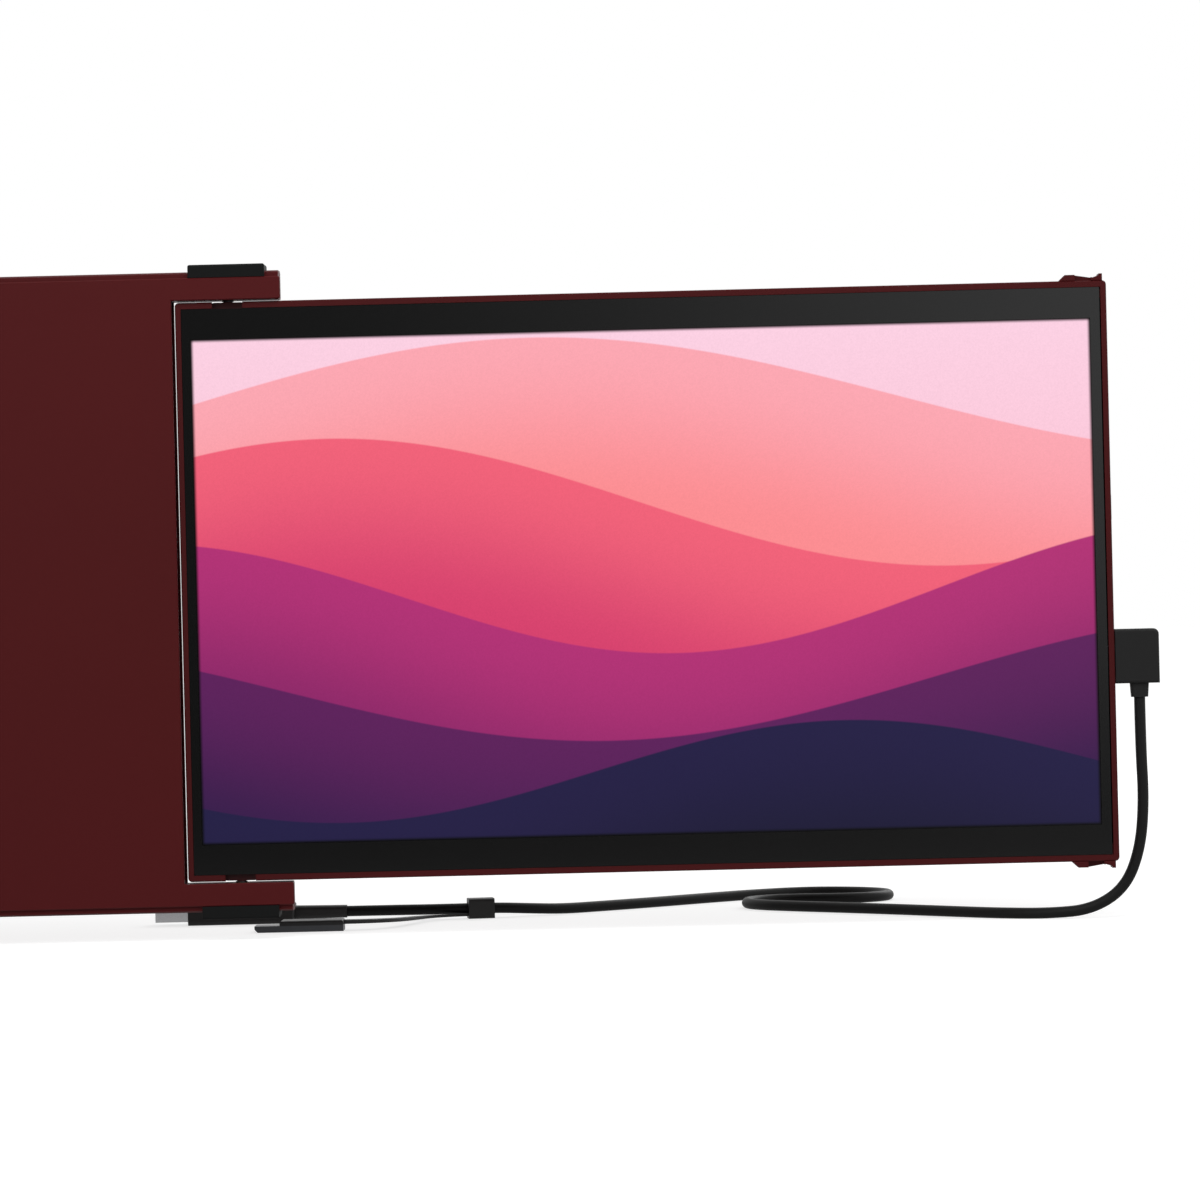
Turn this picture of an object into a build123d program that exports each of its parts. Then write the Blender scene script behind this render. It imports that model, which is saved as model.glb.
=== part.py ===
"""Laptop screen extender: a sleeve that sticks to the back of a laptop's lid, and a second monitor that
slides out of it and swings on two pins at the ends of the sleeve's arms.

Millimetres. +X right along the monitor, +Y away from the user, +Z up. The origin is the centre of the
sleeve's front face, the face that sticks to the lid."""

from build123d import *
import os
from math import radians, tan

# ---- Screen and monitor ---------------------------------------------------------------------------
screen_length = 312.2
screen_height = 175.6
border_left = 5.1
border_right = 5.8
border_top = 12.9
border_bottom = 12.7
monitor_depth = 8.4
corner_radius = 1.4
rim_top = 2.2
rim_side = 2.0
bezel_thickness = 1.0
bezel_recess = 0.1
bezel_gap = 0.12
bezel_gap_right = 0.45
cell_raise = 0.72
cell_flange = 2.2
cell_thickness = 1.3
backlight_thickness = 1.7
rear_cover_wall = 1.2
edge_round = 0.6

# ---- Channel along the monitor's edges and the carriages that run in it ---------------------------
channel_width = 4.0
channel_depth = 4.4
channel_floor = 1.5
carriage_length = 10.6
carriage_clearance = 0.08
carriage_lift = 0.1
carriage_corner = 0.64
carriage_boss_radius = 1.7
park_gap = 0.3
slide_travel = 269.5
travel_gap = 0.4

# ---- Sleeve ---------------------------------------------------------------------------------------
plate_thickness = 1.4
rear_panel_thickness = 1.6
pocket_gap = 0.5
stow_gap = 0.5
end_wall = 1.8
rail_height = 9.95
rail_lip = 2.1
rail_round = 1.2
arm_gap = 0.65
arm_reach = 18.6
arm_setback = 0.6
mouth_setback = 19.3
monitor_overhang = 18.2
sleeve_corner = 5.0
arm_corner = 0.8
plate_round = 0.35
glide_thickness = 0.3
glide_width = 8.0
glide_inset = 6.0

# ---- Hinge ----------------------------------------------------------------------------------------
pin_radius = 2.1
pin_clearance = 0.05
journal_stand = 0.2
bush_bevel = 0.15
pin_stem_radius = 1.2
pin_stem_length = 3.6
stem_clearance = 0.02
bush_wall = 0.95
bush_fit = 0.02
well_radius = 4.6
well_depth = 5.0
washer_radius = 4.2
washer_thickness = 0.5
washers_per_pin = 3
washer_clearance = 0.05
nut_across_flats = 5.0
nut_height = 2.0
pin_tip = 0.4
cap_length = 26.6
cap_height = 2.4
cap_boss_radius = 4.3
cap_boss_height = 0.5
cap_round = 0.7
cap_screw_spacing = 19.0
screw_radius = 0.9
screw_head_radius = 1.7
screw_head_height = 1.0
screw_length = 6.0
screw_clearance = 0.03

# ---- Magnets in the rails and screws in the back --------------------------------------------------
magnet_radius = 3.2
magnet_depth = 3.0
magnet_gap = 0.05
magnets_per_rail = 3
magnet_pitch = 96.0
rear_screws_per_rail = 4
rear_screw_pitch = 72.0

# ---- Catches at the monitor's outer end -----------------------------------------------------------
catch_start = 16.4
catch_ramp_end = 14.2
catch_flat_end = 10.8
catch_dip = 4.6
nub_start = 2.5
nub_end = 1.3
catch_height = 2.1
nub_foot = 1.8
catch_dip_height = 1.1
nub_height = 2.4
foot_start = 15.0
foot_end = 4.0
foot_depth = 3.0
foot_clearance = 0.05
catch_pocket_start = 10.8
catch_pocket_end = 5.2
catch_pocket_depth = 3.2

# ---- Monitor's insides ----------------------------------------------------------------------------
board_length = 96.0
board_height = 52.0
board_thickness = 1.0
board_gap = 0.4
board_edge_gap = 0.3
board_port_rise = 18.0
# the chips: how far left of the board's right edge, how high above its lower edge, and their width
CHIPS = ((30.0, 34.0, 12.0), (52.0, 20.0, 8.0), (72.0, 36.0, 6.0))
ribbon_width = 26.0
ribbon_thickness = 0.3
ribbon_length = 22.0
port_length = 9.0
port_width = 3.3
port_depth = 7.4
port_height = -30.0
port_wall = 0.3
port_gap = 0.04
port_room = 0.12
cover_screw_inset = 9.0
cover_screws_per_row = 4
cover_screw_head = 1.6
button_height = 22.0
button_length = 9.0
button_width = 2.8
button_stand = 0.3
button_travel = 0.5
button_flange = 0.9
button_flange_lip = 0.6
button_clearance = 0.1
switch_length = 4.5
switch_depth = 2.0

# ---- Plugs and cord -------------------------------------------------------------------------------
cord_radius = 1.95
plug_reach = 15.2
plug_height = 18.9
plug_width = 8.0
plug_gap = 0.3
plug_shift = 0.2
plug_round = 1.9
tongue_length = 8.3
tongue_width = 2.5
tongue_reach = 6.4
neck_width = 6.4
neck_thickness = 5.6
neck_length = 4.8
neck_offset = 8.3
neck_taper = 0.6
neck_round = 1.2
table_height = -121.0
far_end_x = 185.5
far_end_y = 92.0
collar_length = 9.4
collar_from_end = 49.0
collar_clearance = 0.4
collar_height = 7.3
collar_width = 8.6
collar_round = 1.0
far_relief_length = 19.0
far_relief_width = 6.4
far_relief_height = 4.9
far_relief_taper_width = 0.8
far_relief_taper_height = 0.4
far_relief_round = 1.5
far_plug_length = 38.5
far_plug_width = 15.6
far_plug_height = 7.2
far_plug_round = 1.4
far_shell_width = 12.0
far_shell_height = 4.5
far_shell_reach = 12.0
shell_wall = 0.35
shell_window_length = 2.2
shell_window_width = 2.3
shell_window_pitch = 5.4
shell_window_from_mouth = 4.2
adapter_x = 165.1
adapter_y = 42.0
adapter_length = 22.5
adapter_width = 12.4
adapter_height = 4.0
adapter_round = 0.8
adapter_shell_length = 31.5
adapter_shell_height = 2.3
adapter_shell_width = 10.4
tether_thickness = 1.4
tether_width_wide = 5.0
tether_width_thin = 2.4
tether_thin_thickness = 0.8

# ---- Places worked out from the sizes above -------------------------------------------------------
monitor_length = border_left + screen_length + border_right
monitor_height = border_top + screen_height + border_bottom
monitor_top = monitor_height / 2
monitor_front = plate_thickness + pocket_gap
monitor_back = monitor_front + monitor_depth
axis_y = monitor_front + monitor_depth / 2
sleeve_depth = monitor_back + pocket_gap + rear_panel_thickness
panel_front = sleeve_depth - rear_panel_thickness
stow_reach = monitor_overhang + slide_travel + stow_gap + end_wall
axis_x = (stow_reach + mouth_setback) / 2
sleeve_left = axis_x - stow_reach
mouth_x = axis_x - mouth_setback
arm_end = axis_x + arm_reach
rail_end = arm_end - arm_setback
rail_inner = monitor_top + arm_gap
rail_outer = rail_inner + rail_height
plate_outer = rail_outer - rail_lip
monitor_left = axis_x - monitor_overhang
monitor_right = monitor_left + monitor_length
screen_left = monitor_left + border_left
screen_right = screen_left + screen_length
screen_bottom = -monitor_top + border_bottom
screen_top = screen_bottom + screen_height
bezel_front = monitor_front + bezel_recess
bezel_back = bezel_front + bezel_thickness
cell_back = bezel_back + cell_thickness
backlight_back = cell_back + backlight_thickness
cover_front = monitor_back - rear_cover_wall
channel_bottom = monitor_top - channel_depth
frame_inner = channel_bottom - channel_floor
channel_left = axis_x - carriage_length / 2 - park_gap
channel_right = axis_x + slide_travel + carriage_length / 2 + travel_gap
carriage_top = monitor_top - carriage_lift
carriage_bottom = channel_bottom + carriage_lift
journal_bottom = monitor_top + journal_stand
bush_radius = pin_radius + pin_clearance + bush_wall
well_floor = rail_outer - well_depth
washers_bottom = well_floor + washer_clearance
washers_top = washers_bottom + washers_per_pin * washer_thickness
nut_top = washers_top + nut_height
board_front = backlight_back + board_gap
board_back = board_front + board_thickness
interior_right = monitor_right - rim_side
board_right = interior_right - board_edge_gap
board_low = port_height - board_port_rise
plug_left = monitor_right + plug_gap
neck_x = plug_left + neck_offset
plug_bottom = port_height + plug_shift - plug_height / 2
neck_bottom = plug_bottom - neck_length
cord_rise = collar_height / 2 - cord_radius
ON_TABLE = table_height + cord_radius

# The cord's route: straight down from the plug's neck, onto the table, back and forth in an open fold,
# and up into the collar and the far plug.
ROUTE = [
    (neck_x, axis_y, neck_bottom),
    (neck_x, axis_y, -62.0),
    (468.9, 7.2, -80.0),
    (467.4, 8.8, -97.0),
    (462.0, 10.4, -110.5),
    (450.5, 11.6, -117.8),
    (436.0, 14.6, ON_TABLE),
    (419.5, 22.0, ON_TABLE),
    (402.5, 38.5, ON_TABLE),
    (384.5, 56.5, ON_TABLE),
    (366.0, 73.5, ON_TABLE),
    (349.5, 87.5, ON_TABLE),
    (336.6, 100.0, ON_TABLE),
    (330.8, 113.0, ON_TABLE),
    (334.2, 126.2, ON_TABLE),
    (346.0, 133.0, ON_TABLE),
    (366.5, 128.6, ON_TABLE),
    (379.6, 132.4, ON_TABLE),
    (386.6, 143.8, ON_TABLE),
    (383.6, 158.0, ON_TABLE),
    (372.0, 170.0, ON_TABLE),
    (355.0, 176.0, ON_TABLE),
    (335.5, 166.0, ON_TABLE),
    (317.0, 150.0, ON_TABLE),
    (297.0, 131.0, ON_TABLE),
    (279.0, 116.0, ON_TABLE),
    (264.0, 104.5, ON_TABLE),
    (252.5, 97.5, ON_TABLE + 0.5 * cord_rise),
    (240.0, 93.0, ON_TABLE + cord_rise),
    (219.0, 90.2, ON_TABLE + cord_rise),
    (202.0, far_end_y, ON_TABLE + cord_rise),
    (far_end_x, far_end_y, ON_TABLE + cord_rise),
]


def slab(x0, x1, y0, y1, z0, z1):
    """A block between two corners."""
    return Pos(x0, y0, z0) * Box(x1 - x0, y1 - y0, z1 - z0, align=(Align.MIN, Align.MIN, Align.MIN))


def upright(outline, y0, y1):
    """An outline drawn in X and Z, with a thickness from y0 to y1."""
    return extrude(Plane.XZ.offset(-y0) * outline, -(y1 - y0))


def rounded(x0, x1, z0, z1, radius):
    """A rectangle in X and Z with round corners."""
    return Pos((x0 + x1) / 2, (z0 + z1) / 2) * RectangleRounded(x1 - x0, z1 - z0, radius)


def rod(x, y, z0, z1, radius):
    """A cylinder along Z."""
    return Pos(x, y, z0) * Cylinder(radius, z1 - z0, align=(Align.CENTER, Align.CENTER, Align.MIN))


def rod_y(x, z, y0, y1, radius):
    """A cylinder along Y."""
    return Pos(x, y0, z) * Rot(-90, 0, 0) * Cylinder(radius, y1 - y0, align=(Align.CENTER, Align.CENTER, Align.MIN))


def lower(part):
    """The same piece on the lower side."""
    return mirror(part, about=Plane.XY)


def spread(count, pitch, centre=0.0):
    """Evenly spaced places about a centre."""
    return [centre + (i - (count - 1) / 2) * pitch for i in range(count)]


# ---- Sleeve ---------------------------------------------------------------------------------------
def sleeve_sheet(half_height, right, y0, y1):
    """The C shape shared by the sleeve's two sheets: a body with an arm along its top and its bottom."""
    sheet = slab(sleeve_left, right, y0, y1, -half_height, half_height)
    sheet = fillet(sheet.edges().filter_by(Axis.Y).group_by(Axis.X)[0], sleeve_corner)
    sheet -= slab(mouth_x, right + 1, y0 - 1, y1 + 1, -rail_inner, rail_inner)
    return fillet(sheet.edges().filter_by(Axis.Y).group_by(Axis.X)[-1], arm_corner)


def front_plate():
    """The sheet that lies against the lid."""
    sheet = sleeve_sheet(plate_outer, arm_end, 0, plate_thickness)
    return chamfer(sheet.edges().group_by(Axis.Y)[0], plate_round)


def rear_panel():
    """The sheet that closes the sleeve's back, screwed to the rails."""
    sheet = sleeve_sheet(rail_outer, rail_end, panel_front, sleeve_depth)
    sheet = chamfer(sheet.edges().group_by(Axis.Y)[-1], plate_round)
    for x in spread(rear_screws_per_rail, rear_screw_pitch):
        for z in (rail_middle(), -rail_middle()):
            sheet -= rod_y(x, z, panel_front - 1, sleeve_depth + 1, screw_radius + screw_clearance)
            sheet -= rod_y(x, z, sleeve_depth - screw_head_height, sleeve_depth + 1,
                           screw_head_radius + screw_clearance)
    return sheet


def rail_middle():
    """The height of the rails' middle line."""
    return (rail_inner + rail_outer) / 2


def magnet_height():
    """The height of the magnets: halfway up the part of the rail that the front sheet covers."""
    return (rail_inner + plate_outer) / 2


def upper_rail():
    """The bar between the two sheets, whose right end is the arm that carries the hinge."""
    section = Plane.YZ.offset(sleeve_left) * Polyline(
        (plate_thickness, rail_inner),
        (panel_front, rail_inner),
        (panel_front, rail_outer),
        (plate_thickness + rail_round, rail_outer),
        (plate_thickness, rail_outer - rail_round / 2),
        close=True,
    )
    rail = extrude(make_face(section), rail_end - sleeve_left)
    left_end = rail.edges().filter_by(Axis.Y).group_by(Axis.X)[0]
    rail = fillet(left_end.sort_by(Axis.Z)[-1], sleeve_corner)
    bush_hole = bush_radius + bush_fit
    rail -= rod(axis_x, axis_y, rail_inner - 1, rail_outer, bush_hole)
    rail -= rod(axis_x, axis_y, well_floor, rail_outer + 1, well_radius)
    for x in spread(2, cap_screw_spacing, axis_x):
        rail -= rod(x, axis_y, rail_outer - screw_length - screw_clearance, rail_outer + 1,
                    screw_radius + screw_clearance)
    for x in spread(magnets_per_rail, magnet_pitch):
        rail -= rod_y(x, magnet_height(), plate_thickness - 1, plate_thickness + magnet_depth + magnet_gap,
                      magnet_radius + magnet_gap)
    hole_depth = screw_length - rear_panel_thickness + screw_clearance
    for x in spread(rear_screws_per_rail, rear_screw_pitch):
        rail -= rod_y(x, rail_middle(), panel_front - hole_depth, panel_front + 1, screw_radius + screw_clearance)
    return rail


def end_rail():
    """The short bar that closes the sleeve's left end."""
    return slab(sleeve_left, sleeve_left + end_wall, plate_thickness, panel_front, -rail_inner, rail_inner)


def lid_magnets():
    """Disc magnets behind the front sheet, which hold the sleeve on the lid's steel strips."""
    discs = []
    for x in spread(magnets_per_rail, magnet_pitch):
        for z in (magnet_height(), -magnet_height()):
            discs.append(rod_y(x, z, plate_thickness, plate_thickness + magnet_depth, magnet_radius))
    return Compound(discs)


def screw(head, radius, head_height, length):
    """A countersunk screw along Z, its head's flat top at zero."""
    outline = Polyline(
        (0, 0), (head, 0), (head, -head_height / 3), (radius, -head_height), (radius, -length + radius / 2),
        (radius / 2, -length), (0, -length), close=True)
    return revolve(Plane.XZ * make_face(outline), Axis.Z)


def rear_panel_screws():
    """The screws that hold the rear sheet on the rails."""
    one = Rot(-90, 0, 0) * screw(screw_head_radius, screw_radius, screw_head_height, screw_length)
    places = [(x, z) for x in spread(rear_screws_per_rail, rear_screw_pitch) for z in (rail_middle(), -rail_middle())]
    return Compound([Pos(x, sleeve_depth, z) * one for x, z in places])


def glide_strips():
    """Low-friction strips on both sheets, which the monitor slides between."""
    strip_left = sleeve_left + end_wall + glide_inset
    strip_right = mouth_x - glide_inset
    middle = rail_inner - glide_inset - glide_width / 2
    strips = []
    for z in (middle, -middle):
        for y0 in (plate_thickness, panel_front - glide_thickness):
            strips.append(slab(strip_left, strip_right, y0, y0 + glide_thickness,
                               z - glide_width / 2, z + glide_width / 2))
    return Compound(strips)


# ---- Hinge ----------------------------------------------------------------------------------------
def upper_hinge_cap():
    """The cover over the nut: a lid on the rail with a lip that drops in front of it."""
    top = rail_outer + cap_height
    section = Plane.YZ.offset(axis_x - cap_length / 2) * Polyline(
        (0, plate_outer), (plate_thickness, plate_outer), (plate_thickness, rail_outer),
        (sleeve_depth, rail_outer), (sleeve_depth, top), (0, top), close=True)
    cap = extrude(make_face(section), cap_length)
    rim = cap.edges().filter_by(lambda e: e.center().Z > rail_outer + cap_height / 2)
    cap = fillet(rim, cap_round)
    cap += rod(axis_x, axis_y, rail_outer - cap_boss_height, rail_outer, cap_boss_radius)
    for x in spread(2, cap_screw_spacing, axis_x):
        cap -= rod(x, axis_y, rail_outer - 1, top + 1, screw_radius + screw_clearance)
        cap -= rod(x, axis_y, top - screw_head_height, top + 1, screw_head_radius + screw_clearance)
    return cap


def cap_screws():
    """The two screws in each cap."""
    one = screw(screw_head_radius, screw_radius, screw_head_height, screw_length)
    upper = [Pos(x, axis_y, rail_outer + cap_height) * one for x in spread(2, cap_screw_spacing, axis_x)]
    return Compound(upper + [lower(s) for s in upper])


def upper_hinge_bush():
    """The plain bearing pressed into the arm."""
    bush = rod(axis_x, axis_y, rail_inner, well_floor, bush_radius)
    bush -= rod(axis_x, axis_y, rail_inner - 1, well_floor + 1, pin_radius + pin_clearance)
    circles = bush.edges().filter_by(GeomType.CIRCLE)
    rims = circles.filter_by(lambda e: e.radius < bush_radius - bush_wall / 2)
    return chamfer(rims, bush_bevel)


def upper_hinge_pin():
    """The pin: a stem in the carriage, a journal in the bush and a thinner end for washers and nut."""
    stem_bottom = carriage_top - pin_stem_length
    outline = Polyline(
        (0, stem_bottom), (pin_stem_radius, stem_bottom), (pin_stem_radius, journal_bottom),
        (pin_radius, journal_bottom), (pin_radius, well_floor), (pin_stem_radius, well_floor),
        (pin_stem_radius, nut_top + pin_tip / 2), (pin_stem_radius - pin_tip / 2, nut_top + pin_tip),
        (0, nut_top + pin_tip), close=True)
    return Pos(axis_x, axis_y, 0) * revolve(Plane.XZ * make_face(outline), Axis.Z)


def upper_carriage():
    """The block that slides in the monitor's channel and carries the pin on a round boss."""
    width = channel_width - 2 * carriage_clearance
    block = slab(axis_x - carriage_length / 2, axis_x + carriage_length / 2, axis_y - width / 2,
                 axis_y + width / 2, carriage_bottom, carriage_top)
    block = fillet(block.edges().filter_by(Axis.Y), carriage_corner)
    block += rod(axis_x, axis_y, carriage_top - carriage_lift, journal_bottom, carriage_boss_radius)
    stem = pin_stem_radius + stem_clearance
    return block - rod(axis_x, axis_y, carriage_top - pin_stem_length - stem_clearance, journal_bottom + 1, stem)


def friction_washers():
    """Spring washers under each nut, which hold the monitor at any angle."""
    washers = []
    for i in range(washers_per_pin):
        z = washers_bottom + i * washer_thickness
        washer = rod(axis_x, axis_y, z, z + washer_thickness, washer_radius)
        washer -= rod(axis_x, axis_y, z - 1, z + washer_thickness + 1, pin_stem_radius + stem_clearance)
        washers += [washer, lower(washer)]
    return Compound(washers)


def hinge_nuts():
    """The lock nut on each pin."""
    hexagon = RegularPolygon(nut_across_flats / 2, 6, major_radius=False)
    nut = Pos(axis_x, axis_y, washers_top) * extrude(hexagon, nut_height)
    nut -= rod(axis_x, axis_y, washers_top - 1, nut_top + 1, pin_stem_radius + stem_clearance)
    return Compound([nut, lower(nut)])


# ---- Monitor --------------------------------------------------------------------------------------
def monitor_frame():
    """The frame round the screen, with the carriages' channels in its top and bottom edges."""
    frame = upright(rounded(monitor_left, monitor_right, -monitor_top, monitor_top, corner_radius),
                    monitor_front, cover_front)
    frame -= slab(monitor_left + rim_side, interior_right, monitor_front - 1, cover_front + 1,
                  -frame_inner, frame_inner)
    frame -= slab(monitor_left + rim_side, interior_right, monitor_front - 1, bezel_back,
                  -monitor_top + rim_top, monitor_top - rim_top)
    frame = chamfer(frame.edges().group_by(Axis.Y)[0].filter_by(
        lambda e: abs(e.center().Z) > monitor_top - 0.1 or e.center().X > monitor_right - 0.1
        or e.center().X < monitor_left + 0.1), plate_round)
    half = channel_width / 2
    channel = slab(channel_left, channel_right, axis_y - half, axis_y + half, channel_bottom, monitor_top + 1)
    notch = slab(axis_x - carriage_length / 2, axis_x + carriage_length / 2, monitor_front - 1, axis_y,
                 monitor_top - rim_top, monitor_top + 1)
    foot = slab(monitor_right - foot_start, monitor_right - foot_end, axis_y - half, axis_y + half,
                monitor_top - foot_depth, monitor_top + 1)
    for cut in (channel, notch, foot):
        frame -= cut
        frame -= lower(cut)
    frame -= slab(interior_right - 1, monitor_right + 1, axis_y - port_width / 2 - port_gap,
                  axis_y + port_width / 2 + port_gap, port_height - port_length / 2 - port_gap,
                  port_height + port_length / 2 + port_gap)
    gap = button_clearance
    frame -= slab(interior_right - 1, monitor_right + 1, axis_y - button_width / 2 - gap,
                  axis_y + button_width / 2 + gap, button_height - button_length / 2 - gap,
                  button_height + button_length / 2 + gap)
    return frame


def cover_screw_places():
    """Where the rear cover's screws go: in a row along the top and the bottom."""
    z = frame_inner + (monitor_top - frame_inner) / 2
    step = (monitor_length - 2 * cover_screw_inset) / (cover_screws_per_row - 1)
    return [(monitor_left + cover_screw_inset + i * step, side * z)
            for i in range(cover_screws_per_row) for side in (1, -1)]


def monitor_rear_cover():
    """The thin cover over the monitor's back."""
    cover = upright(rounded(monitor_left, monitor_right, -monitor_top, monitor_top, corner_radius),
                    cover_front, monitor_back)
    cover = fillet(cover.edges().group_by(Axis.Y)[-1], edge_round)
    for x, z in cover_screw_places():
        cover -= rod_y(x, z, monitor_back - cover_screw_sink(), monitor_back + 1, cover_screw_head + screw_clearance)
    return cover


def cover_screw_sink():
    """How deep the rear cover's screw covers sit."""
    return rear_cover_wall / 2


def rear_cover_plugs():
    """The flat plugs over the rear cover's screws."""
    return Compound([rod_y(x, z, monitor_back - cover_screw_sink(), monitor_back - bezel_recess, cover_screw_head)
                     for x, z in cover_screw_places()])


def screen_bezel():
    """The black border in front of the panel."""
    bezel = upright(rounded(monitor_left + rim_side + bezel_gap, interior_right - bezel_gap_right,
                            -monitor_top + rim_top + bezel_gap, monitor_top - rim_top - bezel_gap, plate_round),
                    bezel_front, bezel_back)
    return bezel - slab(screen_left, screen_right, bezel_front - 1, bezel_back + 1, screen_bottom, screen_top)


def display_panel():
    """The display cell: its picture area stands in the bezel's window."""
    panel = slab(screen_left - cell_flange, screen_right + cell_flange, bezel_back, cell_back,
                 screen_bottom - cell_flange, screen_top + cell_flange)
    return panel + slab(screen_left + bezel_gap, screen_right - bezel_gap, bezel_back - cell_raise, bezel_back,
                        screen_bottom + bezel_gap, screen_top - bezel_gap)


def port_cutout():
    """The room that the tray and the board leave round the socket."""
    half = port_length / 2 + port_room
    return slab(monitor_right - port_depth - port_room, monitor_right, axis_y - port_width / 2 - port_room,
                cover_front, port_height - half, port_height + half)


def backlight_unit():
    """The light guide and its tray behind the panel."""
    tray = slab(screen_left - cell_flange, screen_right + cell_flange, cell_back, backlight_back,
                screen_bottom - cell_flange, screen_top + cell_flange)
    return tray - port_cutout()


def controller_board():
    """The circuit board behind the panel, with its larger chips."""
    board = slab(board_right - board_length, board_right, board_front, board_back,
                 board_low, board_low + board_height)
    chip_height = cover_front - board_back - board_gap
    for x, z, size in CHIPS:
        board += slab(board_right - x - size / 2, board_right - x + size / 2, board_back, board_back + chip_height,
                      board_low + z - size / 2, board_low + z + size / 2)
    return board - port_cutout()


def display_ribbon():
    """The flat cable from the backlight's tray to the board."""
    left = board_right - board_length
    bend = slab(left - ribbon_length, left, backlight_back, backlight_back + ribbon_thickness,
                board_low + board_height / 2 - ribbon_width / 2, board_low + board_height / 2 + ribbon_width / 2)
    rise = slab(left - ribbon_thickness, left, backlight_back, board_back,
                board_low + board_height / 2 - ribbon_width / 2, board_low + board_height / 2 + ribbon_width / 2)
    return bend + rise


def usb_port():
    """The socket in the monitor's right edge, soldered to the board."""
    left = monitor_right - port_depth
    outer = slab(left, monitor_right - bezel_recess, axis_y - port_width / 2, axis_y + port_width / 2,
                 port_height - port_length / 2, port_height + port_length / 2)
    outer = fillet(outer.edges().filter_by(Axis.X), port_width / 2 - port_gap)
    inner = slab(left + 1, monitor_right + 1, axis_y - port_width / 2 + port_wall, axis_y + port_width / 2 - port_wall,
                 port_height - port_length / 2 + port_wall, port_height + port_length / 2 - port_wall)
    return outer - fillet(inner.edges().filter_by(Axis.X), port_width / 2 - port_wall - port_gap)


def upper_end_stop():
    """The catch at the monitor's outer end, which meets the arm when the monitor is pushed in."""
    def at(from_edge, height):
        return (monitor_right - from_edge, monitor_top + height)
    outline = Polyline(
        at(catch_start, 0), at(catch_ramp_end, catch_height), at(catch_flat_end, catch_height),
        at(catch_dip, catch_dip_height), at(nub_start, nub_foot), at(nub_start, nub_height),
        at(nub_end, nub_height), at(nub_end, 0), close=True)
    stop = upright(make_face(outline), monitor_front, monitor_back)
    stop = chamfer(stop.edges().group_by(Axis.Y)[0], plate_round / 2)
    stop -= slab(monitor_right - catch_pocket_start, monitor_right - catch_pocket_end,
                 monitor_front - 1, monitor_front + catch_pocket_depth, monitor_top, monitor_top + nub_height + 1)
    half = channel_width / 2 - foot_clearance
    return stop + slab(monitor_right - foot_start + foot_clearance, monitor_right - foot_end - foot_clearance,
                       axis_y - half, axis_y + half, monitor_top - foot_depth, monitor_top)


def power_button():
    """The key in the monitor's right edge, held in by its flange."""
    half = button_width / 2
    key = slab(interior_right - button_flange, monitor_right + button_stand, axis_y - half, axis_y + half,
               button_height - button_length / 2, button_height + button_length / 2)
    key = fillet(key.faces().sort_by(Axis.X)[-1].edges(), plate_round)
    lip = button_flange_lip
    return key + slab(interior_right - button_clearance - button_flange, interior_right - button_clearance,
                      axis_y - half - lip,
                      axis_y + half + lip, button_height - button_length / 2 - lip,
                      button_height + button_length / 2 + lip)


def button_switch():
    """The snap switch behind the key."""
    right = interior_right - button_flange - button_travel - 2 * button_clearance
    return slab(right - switch_depth, right, board_back, cover_front - board_gap / 2,
                button_height - switch_length / 2, button_height + switch_length / 2)


# ---- Plugs and cord -------------------------------------------------------------------------------
def monitor_plug_body():
    """The right-angle plug's moulding."""
    z0 = plug_bottom
    body = slab(plug_left, plug_left + plug_reach, axis_y - plug_width / 2, axis_y + plug_width / 2,
                z0, z0 + plug_height)
    outer = body.faces().sort_by(Axis.X)[-1].edges().filter_by(Axis.Y).sort_by(Axis.Z)[-1]
    body = fillet(outer, plug_round)
    return fillet(body.edges().filter_by(Axis.X), plug_round / 2)


def monitor_plug_tongue():
    """The metal tongue that goes into the monitor's port."""
    tongue = slab(plug_left - tongue_reach, plug_left, axis_y - tongue_width / 2, axis_y + tongue_width / 2,
                  port_height - tongue_length / 2, port_height + tongue_length / 2)
    return fillet(tongue.edges().filter_by(Axis.X), tongue_width / 2 - port_gap)


def monitor_plug_neck():
    """The short neck where the cord leaves the plug."""
    top = Pos(neck_x, axis_y, plug_bottom) * RectangleRounded(neck_width, neck_thickness, neck_round)
    bottom = Pos(neck_x, axis_y, neck_bottom) * RectangleRounded(
        neck_width - neck_taper, neck_thickness - neck_taper, neck_round)
    return loft([top.face(), bottom.face()])


def cord_path():
    """The cord's middle line: straight runs joined by arcs as large as the runs allow."""
    points = [Vector(*p) for p in ROUTE]
    radii = []
    for a, b, c in zip(points, points[1:], points[2:]):
        turn = (b - a).get_angle(c - b)
        radii.append(0.45 * min((b - a).length, (c - b).length) / tan(radians(turn / 2)))
    return FilletPolyline(*points, radius=radii), radii


def usb_cord():
    """The cord from the first plug's neck to the far plug's relief."""
    path, radii = cord_path()
    print("cord radii:", " ".join(f"{r:.0f}" for r in radii))
    section = Plane(origin=path @ 0, z_dir=path % 0) * Circle(cord_radius)
    tube = sweep(section, path=path)
    expected = section.area * path.length
    print(f"cord length {path.length:.1f}, volume {tube.volume:.1f}, section times length {expected:.1f}")
    return tube


def collar_place():
    """The collar's middle, with X along the cord towards the far plug."""
    path, _ = cord_path()
    distance = path.length - collar_from_end
    centre = path.position_at(distance, PositionMode.LENGTH)
    heading = path.tangent_at(distance, PositionMode.LENGTH)
    return Plane(origin=centre, x_dir=(heading.X, heading.Y, 0), z_dir=(0, 0, 1))


def tether_collar():
    """The ring that ties the adapter's tether to the cord."""
    ring = Box(collar_length, collar_width, collar_height)
    ring = fillet(ring.edges().filter_by(Axis.X), collar_round)
    ring -= Rot(0, 90, 0) * Cylinder(cord_radius + collar_clearance, collar_length * 2)
    return collar_place() * ring


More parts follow.
